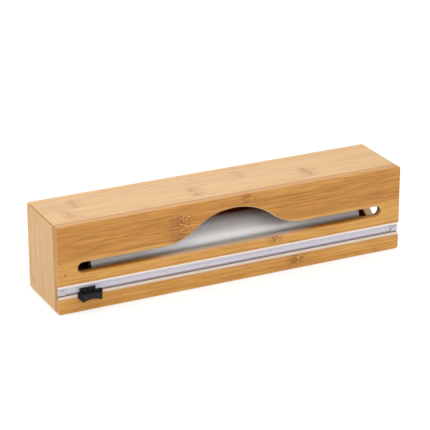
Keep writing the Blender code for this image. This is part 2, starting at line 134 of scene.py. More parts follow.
# The camera stands where the photograph was taken from: left of the front and above it, with a long lens.
view = {
    "place": (-0.7853, -1.5943, 0.7754), "back": (-0.40818, -0.83213, 0.37543),
    "roll": -0.0305, "lens": 163.59, "sensor": 36,
}
backward = Vector(view["back"]).normalized()
level = Vector((-backward.y, backward.x, 0)).normalized()
upward = backward.cross(level)
turn = math.radians(view["roll"])
right = level * math.cos(turn) + upward * math.sin(turn)
top = upward * math.cos(turn) - level * math.sin(turn)
camera = bpy.data.objects.new("camera", bpy.data.cameras.new("camera"))
camera.data.lens = view["lens"]
camera.data.sensor_width = view["sensor"]
camera.matrix_world = Matrix.Translation(view["place"]) @ Matrix((right, top, backward)).transposed().to_4x4()
scene.collection.objects.link(camera)
scene.camera = camera
print("camera placed")

# A white room with soft light from all round, and large soft lamps over the left shoulder, at the left, behind
# and in front. Each lamp has a place, a size, watts and a tint.
studio = {
    "sky": 0.72, "white": "#FFFFFF", "aim": (0, 0, 0.04),
    "floorSize": 8, "floorDrop": 0.0004, "floorColour": "#D2D2D2", "floorRoughness": 0.9, "floorLift": 0.5,
    "lamps": [
        ("keyLamp", (-1.1, -1.7, 1.9), (1.6, 1.6), 11, "#FFFDF8"),
        ("leftLamp", (-2.2, -0.1, 1.1), (1.4, 1.2), 11, "#FFFFFF"),
        ("backLamp", (0.1, 1.9, 1.5), (2.6, 1.2), 15, "#FFFFFF"),
        ("frontLamp", (0.5, -2.2, 0.9), (1.8, 0.8), 12, "#FAFCFF"),
    ],
}


def seenDirectly(tree):
    # 1 where the camera looks, also by way of a shine or a clear piece, and 0 for the light cast on things
    rays = addNode(tree, "LightPath").outputs
    return combineMasks(tree, "MAXIMUM", [rays["Is Camera Ray"], rays["Is Glossy Ray"], rays["Is Transmission Ray"]])


scene.view_settings.view_transform = "Standard"
world = bpy.data.worlds.new("whiteRoom")
world.use_nodes = True
scene.world = world
tree = world.node_tree
tree.nodes.clear()
strength = addNode(tree, "MapRange", [seenDirectly(tree), 0, 1, studio["sky"], 1])
sky = addNode(tree, "Background", {"Color": hexColour(studio["white"]), "Strength": strength})
addNode(tree, "OutputWorld", {"Surface": sky})

for name, place, size, watts, tint in studio["lamps"]:
    light = bpy.data.lights.new(name, "AREA")
    light.shape = "RECTANGLE"
    light.size, light.size_y = size
    light.energy = watts
    light.color = hexColour(tint)[:3]
    lamp = bpy.data.objects.new(name, light)
    lamp.location = place
    lamp.rotation_euler = (Vector(studio["aim"]) - Vector(place)).to_track_quat("-Z", "Y").to_euler()
    scene.collection.objects.link(lamp)

# Matt painted floor: white to the eye, and it keeps the soft shadow under the box.
material, tree = newMaterial("mattPaintedFloor")
lift = addNode(tree, "Math", [seenDirectly(tree), studio["floorLift"]], operation="MULTIPLY")
paint = addNode(tree, "BsdfPrincipled", {
    "Base Color": hexColour(studio["floorColour"]), "Roughness": studio["floorRoughness"],
    "Emission Color": hexColour(studio["white"]), "Emission Strength": lift})
addNode(tree, "OutputMaterial", {"Surface": paint})
mesh = bpy.data.meshes.new("floor")
shape = bmesh.new()
bmesh.ops.create_grid(shape, x_segments=2, y_segments=2, size=studio["floorSize"] / 2)
shape.to_mesh(mesh)
shape.free()
mesh.materials.append(material)
floor = bpy.data.objects.new("floor", mesh)
floor.location.z = -studio["floorDrop"]
scene.collection.objects.link(floor)
print("studio lit")

# Bamboo, strips glued edge to edge, planed, sanded and sealed with satin lacquer.
# The eye sees broad strips of slightly different honey brown, fine straight fibres, and a band of short broken
# figure wherever a strip crosses one of the cane's nodes. The lacquer veils a face that is seen at a slant.
bamboo = {
    "tones": [(0.12, "#A4661F"), (0.5, "#CA8C3D"), (0.88, "#E2AF5E")],  # dark fibres to light ones
    # the pale cream that boards are mixed toward is painted sheen, most on the top and the ends, for the lacquer's
    # white reflection
    "paintedSheen": "#F0EABF", "speck": "#6B3A14", "speckShare": 0.6, "speckCore": 0.4,
    # the way that fibres wander: how far, and over what length
    "drift": 0.4, "driftLength": 45, "driftDetail": 1,
    # the layers of grain, from the fibres up: width, length, shift of the noise, weight
    "layers": [(0.7, 26, 0, 1.2), (1.2, 90, 3, 0.48), (4, 240, 7, 0.2), (26, 70, 13, 0.25)],
    "layerDetail": 2, "layerRoughness": 0.6, "stripShift": 53, "stripMargin": 60,
    # the hair line where strips meet: its blurred and its dark half width
    "seam": "#9C6530", "seamWidth": (0.3, 0.08), "seamShare": 0.55,
    # the bundles that end grain shows
    "endGrain": "#AD6A1E", "bundle": 0.9, "bundleEdge": (0.2, 0.5, 0.9, 0.5), "endFacing": (0.75, 0.95),
    # edges sanded round, paler partly from sanding and partly as painted highlight: how far they lean and look down,
    # and the width of a hand-sanded line
    "sandedAndHighlit": "#F6D8A8", "sandedLean": (0.15, 0.5), "sandedEnd": (0.92, 0.75), "sandedBelow": (0.1, -0.3),
    "sandedLine": (1.3, 0.7), "boreLine": (0.5, 0.3),
    # the glue behind the front panel
    "glue": "#7E4E2A", "glueAt": -29.5, "glueWidth": (0.75, 0.3), "glueShare": 0.6,
    # painted shade darkens the slot's walls with depth beside the finger arch, and painted light makes the sill below
    # it pale
    "slotBox": [("X", -166, 166), ("Y", -40, -20), ("Z", 35, 80)], "throat": (0.6, 0.46, 0.36),
    "throatDepth": (-36.6, -30.5), "besideArch": (60, 110),
    "paintedSillLight": "#EFE3D6", "sillFacing": (0.2, 0.7, 0, 0.6), "sillDepth": (-37.2, -35.5), "sillEnd": (0.6, 0),
    # the faces inside the box, darkened and browned by painted shade
    "insideBox": [("X", -176.3, 176.3), ("Y", -29.7, 29.7), ("Z", 7.8, 80.7)], "inside": (0.5, 0.28, 0.2),
    # the lacquer's shine follows the fibres
    "roughness": (0.33, 0.45), "fibreSpan": (0.2, 0.8), "ior": 1.48, "relief": 0.25, "reliefDepth": 0.12,
    "crumbRelief": 0.7,
}
# One mark of a node: crumbs on one side of its rippled line, and a brown haze on the other.
nodeMark = {
    "colour": "#834711", "crumbLength": 2.3, "crumbWidth": 1.4, "crumbDetail": 2.5,
    "crumbRoughness": 0.7, "crumbDistortion": 0.6,
    "crumbs": [(0.52, 0.43, 0.8, "#834711"), (0.56, 0.64, 0.8, "#F0BC62")],  # dark ones, then pale ones
    "ripple": 9, "rippleSize": 4.5, "rippleDetail": 3, "rippleRoughness": 0.6,
    "overlap": 0.2, "blur": 2.2, "line": (-1.2, 0.6), "crumbFade": 0.3,
    "hazeReach": 0.9, "hazeLine": (2.5, -0.5), "hazePower": 1.5,
    "patch": 9, "patchDetail": 2, "patches": (0.38, 0.58, 0.55, 1.0), "hazeFibres": (0.35, 0.65, 1.0, 0.45),
}
# seams: where strips meet across the board, with the tone of each strip from the lowest up.
# marks: where along the grain, from and to across it, length, strength. specks: along, across, radius.
# edgeFace: the axis that narrow faces look along, from and to what share of it, share, colour.
# sandedArcs: centre, radius, side, from and to along the box, lowest height, share. bore: centre, radius, share.
boards = {
    "front_panel": {
        "along": "X", "across": "Z", "seed": 1,
        "seams": [5.5, 30.5, 54, 80], "tones": [0.52, 0.56, 0.62, 0.4, 0.46], "sandedAndHighlit": 0.9, "paintedSheenShare": 0,
        "edgeFace": ("Z", 0.6, 0.95, 0.45, "#C8871F"),
        "marks": [(-58.5, 50, 80, 19, 1), (14, 79, 90, 14, 0.9), (43, 30.5, 52, 10, 1.3), (67, 3, 30.5, 16, 1.5),
                  (158, -2, 5.5, 9, 0.6)],
        "specks": [(-182.6, 52.4, 0.9), (-177.4, 39.8, 1.5), (181.3, 66.9, 1), (30.7, 6.8, 0.7)],
        "sandedArcs": [((0, 11.4), 65, 1, (-1, 41.7), 46, 0.6), ((74.4, 100.4), 51, -1, (41.7, 72), 46, 0.6),
                       ((158.4, 44.1), 4.4, 1, (158.4, 168), 30, 0.25)],
    },
    "top_board": {
        "along": "X", "across": "Y", "seed": 2,
        "seams": [-21, 2, 25], "tones": [0.58, 0.62, 0.55, 0.66], "sandedAndHighlit": 0, "paintedSheenShare": 0.15,
        "marks": [(-146, 2, 25, 13, 0.7), (-160, -21, 2, 14, 0.75), (-29, -21, 2, 12, 0.95), (94, -21, 2, 13, 1.1),
                  (30, 2, 25, 10, 0.6), (-88, -32, -21, 8, 0.3)],
        "haze": "#A8612C", "crumbs": 0.55,
        "specks": [(-70, 9, 0.5), (140, -12, 0.5)],
    },
    "back_panel": {
        "along": "X", "across": "Z", "seed": 3,
        "seams": [14, 37.5, 62], "tones": [0.55, 0.42, 0.58, 0.5], "sandedAndHighlit": 0.6, "paintedSheenShare": 0.05,
        "endGrain": 0.3, "edgeFace": ("Y", 0.8, 0.3, 0.35, "#EBC388"),
        "marks": [(-108, 62, 90, 10, 0.7), (32, 62, 90, 10, 0.8), (-20, 37.5, 62, 11, 0.8), (121, 37.5, 62, 9, 0.7),
                  (-141, 14, 37.5, 9, 0.8), (76, 14, 37.5, 10, 0.7), (-64, -2, 14, 9, 0.7)],
        "specks": [(-12, 70, 0.7), (96, 21, 0.8), (-170, 44, 0.6)],
    },
    "bottom_board": {
        "along": "X", "across": "Y", "seed": 4,
        "seams": [-14, 9], "tones": [0.5, 0.44, 0.56], "sandedAndHighlit": 0, "paintedSheenShare": 0.05,
        "marks": [(-122, -14, 9, 10, 0.8), (34, 9, 32, 9, 0.8), (88, -32, -14, 10, 0.7)],
        "specks": [(12, -4, 0.8)],
    },
    "left_end_board": {
        "along": "Z", "across": "Y", "seed": 5,
        "seams": [-24, -2, 20.5], "tones": [0.62, 0.56, 0.52, 0.6], "sandedAndHighlit": 0, "paintedSheenShare": 0.15,
        "marks": [(13, 20.5, 32, 9, 0.6)], "crumbs": 0.4,
        "specks": [(71, 6, 0.4)],
    },
    "right_end_board": {
        "along": "Z", "across": "Y", "seed": 6,
        "seams": [-19, 4, 26], "tones": [0.56, 0.62, 0.52, 0.6], "sandedAndHighlit": 0, "paintedSheenShare": 0.15,
        "marks": [(80, -19, 4, 9, 0.6), (9, 4, 26, 9, 0.6)], "crumbs": 0.2,
        "specks": [(22, -24, 0.5)], "bore": ((0, 44.2), 28, 0.5),
    },
}


def stretchGrain(tree, point, across, length, width):
    # a place counted in features of one length along the grain and one width across it
    place = addNode(tree, "CombineXYZ", [point["along"], across, point["depth"]])
    return addNode(tree, "VectorMath", [place, (1 / length, 1 / width, 1 / width)], operation="MULTIPLY")


def growGrain(tree, point, board):
    # fibres wander a little from dead straight
    place = addNode(tree, "CombineXYZ", [point["along"], point["across"], point["depth"]])
    waver = addNode(tree, "TexNoise", {"Vector": place, "W": board["seed"], "Scale": 1 / bamboo["driftLength"],
                                       "Detail": bamboo["driftDetail"]}, noise_dimensions="4D")
    waver = addNode(tree, "MapRange", [waver, 0, 1, -bamboo["drift"], bamboo["drift"]])
    wandered = addNode(tree, "Math", [point["across"], waver], operation="ADD")

    # which strip a point lies in: a stepped ramp across the board
    low, high = board["seams"][0] - bamboo["stripMargin"], board["seams"][-1] + bamboo["stripMargin"]
    strip = addNode(tree, "ValToRGB", [addNode(tree, "MapRange", [point["across"], low, high])])
    strip.color_ramp.interpolation = "CONSTANT"
    setStops(strip.color_ramp, [((at - low) / (high - low), (tone, tone, tone, 1))
                                for at, tone in zip([low] + board["seams"], board["tones"])])
    stripSeed = addNode(tree, "Math", [strip, bamboo["stripShift"], board["seed"]], operation="MULTIPLY_ADD")

    tone, layers = strip, []
    for width, length, shift, weight in bamboo["layers"]:
        seed = addNode(tree, "Math", [stripSeed, shift], operation="ADD")
        layer = addNode(tree, "TexNoise", {
            "Vector": stretchGrain(tree, point, wandered, length, width), "W": seed, "Scale": 1,
            "Detail": bamboo["layerDetail"], "Roughness": bamboo["layerRoughness"]}, noise_dimensions="4D")
        aboutZero = addNode(tree, "Math", [layer, noiseMiddle], operation="SUBTRACT")
        tone = addNode(tree, "Math", [aboutZero, weight, tone], operation="MULTIPLY_ADD")
        layers.append(layer)
    wood = addNode(tree, "ValToRGB", [tone])
    setStops(wood.color_ramp, [(at, hexColour(colour)) for at, colour in bamboo["tones"]])
    # painted sheen: the board is paled toward cream by its share, for the white light that the lacquer reflects there
    paintedSheen = addNode(tree, "Mix", {0: board["paintedSheenShare"], 6: wood, 7: hexColour(bamboo["paintedSheen"])}, data_type="RGBA")
    return paintedSheen.outputs[2], layers[0]


def layNodeMarks(tree, point, board, wood, fibres):
    # broken figure at the cane's nodes, with the relief that it has
    crumbs = addNode(tree, "TexNoise", {
        "Vector": stretchGrain(tree, point, point["across"], nodeMark["crumbLength"], nodeMark["crumbWidth"]),
        "Scale": 1, "Detail": nodeMark["crumbDetail"], "Roughness": nodeMark["crumbRoughness"],
        "Distortion": nodeMark["crumbDistortion"]})
    ripple = addNode(tree, "TexNoise", {
        "Vector": point["inMm"], "Scale": 1 / nodeMark["rippleSize"], "Detail": nodeMark["rippleDetail"],
        "Roughness": nodeMark["rippleRoughness"]})
    overlap, blur = nodeMark["overlap"], nodeMark["blur"]
    figures, hazes = [], []
    for where, start, end, length, strength in board["marks"]:
        middle = where + nodeMark["ripple"] * noiseMiddle
        offset = addNode(tree, "Math", [point["along"], middle], operation="SUBTRACT")
        offset = addNode(tree, "Math", [ripple, nodeMark["ripple"], offset], operation="MULTIPLY_ADD")
        begun = addNode(tree, "MapRange", [point["across"], start - overlap, start + blur])
        ended = addNode(tree, "MapRange", [point["across"], end + overlap, end - blur])
        inside = combineMasks(tree, "MULTIPLY", [begun, ended, strength])
        fading = addNode(tree, "MapRange", [offset, length * nodeMark["crumbFade"], length, 1, 0])
        after = addNode(tree, "MapRange", [offset, *nodeMark["line"]])
        figures.append(combineMasks(tree, "MULTIPLY", [fading, after, inside]))
        # the haze lies before the line, and thins out with the distance from it
        before = addNode(tree, "MapRange", [offset, -length * nodeMark["hazeReach"], nodeMark["hazeLine"][1]])
        before = addNode(tree, "Math", [before, nodeMark["hazePower"]], operation="POWER")
        beforeLine = addNode(tree, "MapRange", [offset, *nodeMark["hazeLine"]])
        hazes.append(combineMasks(tree, "MULTIPLY", [beforeLine, before, inside]))
    figure, haze = [combineMasks(tree, "MAXIMUM", masks) for masks in (figures, hazes)]

    patchy = addNode(tree, "TexNoise", {"Vector": point["inMm"], "Scale": 1 / nodeMark["patch"],
                                        "Detail": nodeMark["patchDetail"]})
    fibrous = addNode(tree, "MapRange", [fibres, *nodeMark["hazeFibres"]])
    patchy = addNode(tree, "MapRange", [patchy, *nodeMark["patches"]])
    haze = combineMasks(tree, "MULTIPLY", [fibrous, patchy, haze])
    layers = [(haze, board.get("haze", nodeMark["colour"]))]
    for start, end, share, colour in nodeMark["crumbs"]:
        crumbled = addNode(tree, "MapRange", [crumbs, start, end, 0, share * board.get("crumbs", 1)])
        layers.append((addNode(tree, "Math", [crumbled, figure], operation="MULTIPLY"), colour))
    relief = addNode(tree, "Math", [figure, crumbs], operation="MULTIPLY")
    return layColours(tree, wood, layers), relief


def laySpecksAndSeams(tree, point, board, wood):
    specks, seams = [], []
    for where, height, radius in board["specks"]:
        reach = distanceFrom(tree, point["along"], point["across"], (where, height))
        specks.append(addNode(tree, "MapRange", [reach, radius, radius * bamboo["speckCore"]]))
    for seam in board["seams"]:
        gap = addNode(tree, "Math", [point["across"], seam], operation="SUBTRACT")
        gap = addNode(tree, "Math", [gap], operation="ABSOLUTE")
        seams.append(addNode(tree, "MapRange", [gap, *bamboo["seamWidth"]]))
    specked = addNode(tree, "Math", [combineMasks(tree, "MAXIMUM", specks), bamboo["speckShare"]], operation="MULTIPLY")
    lined = addNode(tree, "Math", [combineMasks(tree, "MAXIMUM", seams), bamboo["seamShare"]], operation="MULTIPLY")
    return layColours(tree, wood, [(specked, bamboo["speck"]), (lined, bamboo["seam"])])


def layEdges(tree, point, board, wood):
    axes, facing = point["axes"], point["facing"]
    # end grain: bundles cut across show as close dots on a slightly redder ground
    endwise = addNode(tree, "Math", [facing[board["along"]]], operation="ABSOLUTE")
    endwise = addNode(tree, "MapRange", [endwise, *bamboo["endFacing"]])
    bundles = addNode(tree, "TexVoronoi", {"Vector": point["inMm"], "Scale": 1 / bamboo["bundle"]}).outputs["Distance"]
    bundles = addNode(tree, "MapRange", [bundles, *bamboo["bundleEdge"]])
    bundles = combineMasks(tree, "MULTIPLY", [bundles, endwise, board.get("endGrain", 1)])
    layers = [(bundles, bamboo["endGrain"])]

    # the panels' narrow edge faces: honey coloured at the front, and as pale as the frame at the back
    if "edgeFace" in board:
        axis, start, end, share, colour = board["edgeFace"]
        turned = addNode(tree, "Math", [facing[axis]], operation="ABSOLUTE")
        layers.append((addNode(tree, "MapRange", [turned, start, end, 0, share]), colour))

    # edges that were sanded round are painted paler than the faces, most where fingers rub them from below; the
    # paleness is partly the sanded wood and partly painted highlight
    lean = addNode(tree, "Math", [facing["Y"]], operation="ABSOLUTE")
    leaning = addNode(tree, "MapRange", [lean, *bamboo["sandedLean"]])
    rounding = addNode(tree, "MapRange", [lean, *bamboo["sandedEnd"]])
    below = addNode(tree, "MapRange", [facing["Z"], *bamboo["sandedBelow"]])
    sandedAndHighlit = combineMasks(tree, "MULTIPLY", [leaning, rounding, below, board["sandedAndHighlit"]])
    # a pale line follows the finger arch and the slot's ends, where their edge was sanded by hand; it is partly painted
    # highlight
    aside = addNode(tree, "Math", [axes["X"]], operation="ABSOLUTE")
    for centre, radius, side, (start, end), lowest, share in board.get("sandedArcs", []):
        gap = distanceFrom(tree, aside, axes["Z"], centre)
        gap = addNode(tree, "Math", [gap, radius], operation="SUBTRACT")
        gap = addNode(tree, "Math", [gap, side], operation="MULTIPLY")
        line = addNode(tree, "MapRange", [gap, *bamboo["sandedLine"], 0, share])
        begun = addNode(tree, "Math", [aside, start], operation="GREATER_THAN")
        ended = addNode(tree, "Math", [aside, end], operation="LESS_THAN")
        raised = addNode(tree, "Math", [axes["Z"], lowest], operation="GREATER_THAN")
        line = combineMasks(tree, "MULTIPLY", [line, begun, ended, raised])
        sandedAndHighlit = addNode(tree, "Math", [sandedAndHighlit, line], operation="MAXIMUM")
    layers.append((sandedAndHighlit, bamboo["sandedAndHighlit"]))

    # glue shows as a brown hair line where the front panel meets the frame
    gap = addNode(tree, "Math", [axes["Y"], bamboo["glueAt"]], operation="SUBTRACT")
    gap = addNode(tree, "Math", [gap], operation="ABSOLUTE")
    layers.append((addNode(tree, "MapRange", [gap, *bamboo["glueWidth"], 0, bamboo["glueShare"]]), bamboo["glue"]))
    return layColours(tree, wood, layers)


def layInside(tree, point, board, wood):
    axes, facing = point["axes"], point["facing"]
    # painted shade darkens the slot's own walls with depth beside the arch, and painted light makes the sill under the
    # arch pale
    inSlot = withinBox(tree, axes, bamboo["slotBox"])
    aside = addNode(tree, "Math", [axes["X"]], operation="ABSOLUTE")
    beside = addNode(tree, "MapRange", [aside, *bamboo["besideArch"]])
    throat = addNode(tree, "MapRange", [axes["Y"], *bamboo["throatDepth"]])
    throat = combineMasks(tree, "MULTIPLY", [throat, beside, inSlot])
    upright = addNode(tree, "MapRange", [facing["Z"], *bamboo["sillFacing"]])
    outer = addNode(tree, "MapRange", [axes["Y"], *bamboo["sillDepth"]])
    underArch = addNode(tree, "MapRange", [beside, *bamboo["sillEnd"]])
    paintedSillLight = combineMasks(tree, "MULTIPLY", [upright, outer, underArch, inSlot])
    shaded = addNode(tree, "VectorMath", [wood, bamboo["throat"]], operation="MULTIPLY")
    wood = layColours(tree, wood, [(throat, shaded), (paintedSillLight, bamboo["paintedSillLight"])])

    # painted shade: the faces inside the box are darkened and browned, as they lie in the dark
    shaded = addNode(tree, "VectorMath", [wood, bamboo["inside"]], operation="MULTIPLY")
    layers = [(withinBox(tree, axes, bamboo["insideBox"]), shaded)]

    # painted light: the wall of the loading hole is lightened toward the pale edge colour, where light from outside
    # falls on it
    if "bore" in board:
        centre, radius, share = board["bore"]
        reach = distanceFrom(tree, axes["Y"], axes["Z"], centre)
        outer, inner = [radius + width for width in bamboo["boreLine"]]
        layers.append((addNode(tree, "MapRange", [reach, outer, inner, 0, share]), bamboo["sandedAndHighlit"]))
    return layColours(tree, wood, layers)


def makeBamboo(name, board):
    material, tree = newMaterial("bambooStrips_satinLacquered_" + name)
    inMm = placeInMm(tree)
    axes = addNode(tree, "SeparateXYZ", [inMm]).outputs
    depthAxis, = set("XYZ") - {board["along"], board["across"]}
    point = {"inMm": inMm, "axes": axes, "facing": surfaceFacing(tree),
             "along": axes[board["along"]], "across": axes[board["across"]], "depth": axes[depthAxis]}
    wood, fibres = growGrain(tree, point, board)
    wood, relief = layNodeMarks(tree, point, board, wood, fibres)
    wood = laySpecksAndSeams(tree, point, board, wood)
    wood = layEdges(tree, point, board, wood)
    wood = layInside(tree, point, board, wood)
    relief = addNode(tree, "Math", [relief, bamboo["crumbRelief"], fibres], operation="MULTIPLY_ADD")
    bump = addNode(tree, "Bump", {"Height": relief, "Strength": bamboo["relief"],
                                  "Distance": bamboo["reliefDepth"] * mm})
    rough = addNode(tree, "MapRange", [fibres, *bamboo["fibreSpan"], *bamboo["roughness"]])
    lacquered = addNode(tree, "BsdfPrincipled", {"Base Color": wood, "Roughness": rough, "IOR": bamboo["ior"],
                                                 "Normal": bump})
    addNode(tree, "OutputMaterial", {"Surface": lacquered})
    return material


for name, board in boards.items():
    dressNode(name, makeBamboo(name, board))
print("boards finished")

# Clear PVC, extruded. It is nearly colourless, with a faint lilac cast over the pale tape behind, drawn lines along
# its length and bright edges where it is thick. A veil is how much of the plastic itself shows.
rail = {
    "tint": "#F2F0FF", "pale": "#FFFFFF", "roughness": (0.084, 0.168), "ior": 1.5, "veil": 0.012,
    "lineSpacing": 0.6, "lineLength": 250, "lineDetail": 2, "relief": 0.15, "reliefDepth": 0.08,
    # faces that run from front to back, and the flat front's weak reflection
    "edgeVeil": 0.3, "edgeLean": (0.85, 0.3), "gloss": (0.9, 0.99, 0.5, 0.05),
    # heights of the narrow lower lip's painted light, the thick top wall's painted highlight and the painted shade on
    # the track behind the slit
    "lip": "#FFECDA", "lipVeil": 0.62, "lipTop": (18.3, 18.0),
    "topHighlight": "#FFF4EC", "topHighlightVeil": 0.9, "topHighlightBase": (26.5, 27.1),
    "slitShade": "#6E5C5C", "trackVeil": 0.9, "trackBase": (16.7, 17.2), "trackTop": (19.8, 18.4), "trackFront": -35.3,
}
# The plugs are moulded from the same plastic, a little cloudy.
plug = {**rail, "tint": "#E9E5F6", "roughness": (0.14, 0.28), "veil": 0.45, "edgeVeil": 0.45, "lineSpacing": 3,
        "trackVeil": 0}


def makeClearPlastic(name, clear):
    material, tree = newMaterial(name)
    inMm = placeInMm(tree)
    axes = addNode(tree, "SeparateXYZ", [inMm]).outputs
    spacing = (1 / clear["lineLength"], 1 / clear["lineSpacing"], 1 / clear["lineSpacing"])
    drawn = addNode(tree, "VectorMath", [inMm, spacing], operation="MULTIPLY")
    drawn = addNode(tree, "TexNoise", {"Vector": drawn, "Scale": 1, "Detail": clear["lineDetail"]})
    # faces that run from front to back show the plastic's thickness, and look milky
    lean = addNode(tree, "Math", [surfaceFacing(tree)["Y"]], operation="ABSOLUTE")
    cloud = addNode(tree, "MapRange", [lean, *clear["edgeLean"], clear["veil"], clear["edgeVeil"]])
    # painted light: the lower lip is painted warm and pale for the light and the wood's warmth that it catches, and the
    # thick top wall is painted bright along its whole length as a highlight; painted shade greys the blade's track
    # behind the slit
    lip = addNode(tree, "MapRange", [axes["Z"], *clear["lipTop"]])
    topHighlight = addNode(tree, "MapRange", [axes["Z"], *clear["topHighlightBase"]])
    behind = addNode(tree, "Math", [axes["Y"], clear["trackFront"]], operation="GREATER_THAN")
    above = addNode(tree, "MapRange", [axes["Z"], *clear["trackBase"]])
    below = addNode(tree, "MapRange", [axes["Z"], *clear["trackTop"]])
    slitShade = combineMasks(tree, "MULTIPLY", [above, below, behind, clear["trackVeil"]])
    shade = layColours(tree, hexColour(clear["tint"]), [
        (drawn, clear["pale"]), (lip, clear["lip"]), (topHighlight, clear["topHighlight"]), (slitShade, clear["slitShade"])])
    lipVeil = addNode(tree, "Math", [lip, clear["lipVeil"]], operation="MULTIPLY")
    topHighlightVeil = addNode(tree, "Math", [topHighlight, clear["topHighlightVeil"]], operation="MULTIPLY")
    cloud = combineMasks(tree, "MAXIMUM", [cloud, lipVeil, topHighlightVeil, slitShade])
    # the flat front shows hardly any reflection, and what lies behind it stays crisp
    gloss = addNode(tree, "MapRange", [lean, *clear["gloss"]])
    rough = addNode(tree, "MapRange", [drawn, *noiseSpan, *clear["roughness"]])
    bump = addNode(tree, "Bump", {"Height": drawn, "Strength": clear["relief"], "Distance": clear["reliefDepth"] * mm})
    plastic = addNode(tree, "BsdfPrincipled", {"Base Color": shade, "Roughness": rough, "IOR": clear["ior"],
                                               "Specular IOR Level": gloss, "Alpha": cloud, "Normal": bump})
    addNode(tree, "OutputMaterial", {"Surface": plastic})
    return material


dressNode("cutter_rail", makeClearPlastic("clearPVC_extruded", rail))
material = makeClearPlastic("clearPVC_moulded", plug)
dressNode("rail_stop_left", material)
dressNode("rail_stop_right", material)

# Acrylic foam tape, double sided: matt and pale, with a fine open cell. Pale and dark streaks along it, each at its
# height, are painted light for the light that the clear lip in front bends onto it.
tape = {
    "bottom": 15, "top": 29, "cell": 0.5, "detail": 2, "pale": "#F6F3FF", "roughness": 0.65,
    "relief": 0.02, "reliefDepth": 0.1,
    "lipLightStreaks": [(15.5, "#F6EFFA"), (21.5, "#F6EEFD"), (23.5, "#F9F3FF"), (25, "#E4E0F8"), (26.2, "#ECE8FC"),
                (28.5, "#FFFAF8")],
}
material, tree = newMaterial("acrylicFoamTape")
inMm = placeInMm(tree)
cells = addNode(tree, "TexNoise", {"Vector": inMm, "Scale": 1 / tape["cell"], "Detail": tape["detail"]})
height = addNode(tree, "SeparateXYZ", [inMm]).outputs["Z"]
# painted light: the streaks are set by height
lipLightStreaks = addNode(tree, "ValToRGB", [addNode(tree, "MapRange", [height, tape["bottom"], tape["top"]])])
setStops(lipLightStreaks.color_ramp, [((level - tape["bottom"]) / (tape["top"] - tape["bottom"]), hexColour(colour))
                              for level, colour in tape["lipLightStreaks"]])
shade = addNode(tree, "Mix", {0: cells, 6: lipLightStreaks, 7: hexColour(tape["pale"])}, data_type="RGBA").outputs[2]
bump = addNode(tree, "Bump", {"Height": cells, "Strength": tape["relief"], "Distance": tape["reliefDepth"] * mm})
foam = addNode(tree, "BsdfPrincipled", {"Base Color": shade, "Roughness": tape["roughness"], "Normal": bump})
addNode(tree, "OutputMaterial", {"Surface": foam})
dressNode("rail_tape", material)
print("rail finished")

# ABS, injection moulded with a fine spark-eroded texture: near black, with painted light making the faces that look to
# the front greyer.
grip = {
    "colour": "#070708", "light": "#0E0E0F", "texture": 0.35, "detail": 2, "relief": 0.35, "reliefDepth": 0.06,
    "frontLight": "#262827", "frontLightFacing": (-0.4, -0.9), "frontLightShare": 0.8, "rub": 6, "rubDetail": 3,
    "roughness": (0.43, 0.58), "gloss": 0.16,
}
material, tree = newMaterial("blackABS_moulded")
inMm = placeInMm(tree)
pits = addNode(tree, "TexNoise", {"Vector": inMm, "Scale": 1 / grip["texture"], "Detail": grip["detail"]})
dulled = addNode(tree, "TexNoise", {"Vector": inMm, "Scale": 1 / grip["rub"], "Detail": grip["rubDetail"]})
# painted light: faces that look to the front are greyed, as they catch more light than the top
ahead = addNode(tree, "MapRange", [surfaceFacing(tree)["Y"], *grip["frontLightFacing"], 0, grip["frontLightShare"]])
shade = layColours(tree, hexColour(grip["colour"]), [(pits, grip["light"]), (ahead, grip["frontLight"])])
rough = addNode(tree, "MapRange", [dulled, *noiseSpan, *grip["roughness"]])
bump = addNode(tree, "Bump", {"Height": pits, "Strength": grip["relief"], "Distance": grip["reliefDepth"] * mm})
plastic = addNode(tree, "BsdfPrincipled", {"Base Color": shade, "Roughness": rough,
                                           "Specular IOR Level": grip["gloss"], "Normal": bump})
addNode(tree, "OutputMaterial", {"Surface": plastic})
dressNode("cutter_grip", material)

# POM, moulded smooth, so that the runner slides: black with a waxy shine.
shoe = {"colour": "#050506", "light": "#0A0A0B", "flow": 2.5, "detail": 2, "roughness": (0.42, 0.54), "gloss": 0.08}
material, tree = newMaterial("blackPOM_moulded")
flow = addNode(tree, "TexNoise", {"Vector": placeInMm(tree), "Scale": 1 / shoe["flow"], "Detail": shoe["detail"]})
shade = addNode(tree, "Mix", {0: flow, 6: hexColour(shoe["colour"]), 7: hexColour(shoe["light"])},
                data_type="RGBA").outputs[2]
rough = addNode(tree, "MapRange", [flow, *noiseSpan, *shoe["roughness"]])
waxy = addNode(tree, "BsdfPrincipled", {"Base Color": shade, "Roughness": rough, "Specular IOR Level": shoe["gloss"]})
addNode(tree, "OutputMaterial", {"Surface": waxy})
dressNode("cutter_shoe", material)

# Carbon steel, rolled and ground: grinding lines run across the edge.
blade = {"colour": "#A9ACB0", "light": "#C6C8CA", "lineSpacing": 0.12, "lineLength": 5, "detail": 2,
         "roughness": (0.2, 0.34)}
material, tree = newMaterial("carbonSteel_ground")
spacing = (1 / blade["lineSpacing"], 1 / blade["lineLength"], 1 / blade["lineLength"])
ground = addNode(tree, "VectorMath", [placeInMm(tree), spacing], operation="MULTIPLY")
ground = addNode(tree, "TexNoise", {"Vector": ground, "Scale": 1, "Detail": blade["detail"]})
shade = addNode(tree, "Mix", {0: ground, 6: hexColour(blade["colour"]), 7: hexColour(blade["light"])},
                data_type="RGBA").outputs[2]
rough = addNode(tree, "MapRange", [ground, *noiseSpan, *blade["roughness"]])
steel = addNode(tree, "BsdfPrincipled", {"Base Color": shade, "Metallic": 1, "Roughness": rough})
addNode(tree, "OutputMaterial", {"Surface": steel})
dressNode("cutter_blade", material)
print("cutter finished")

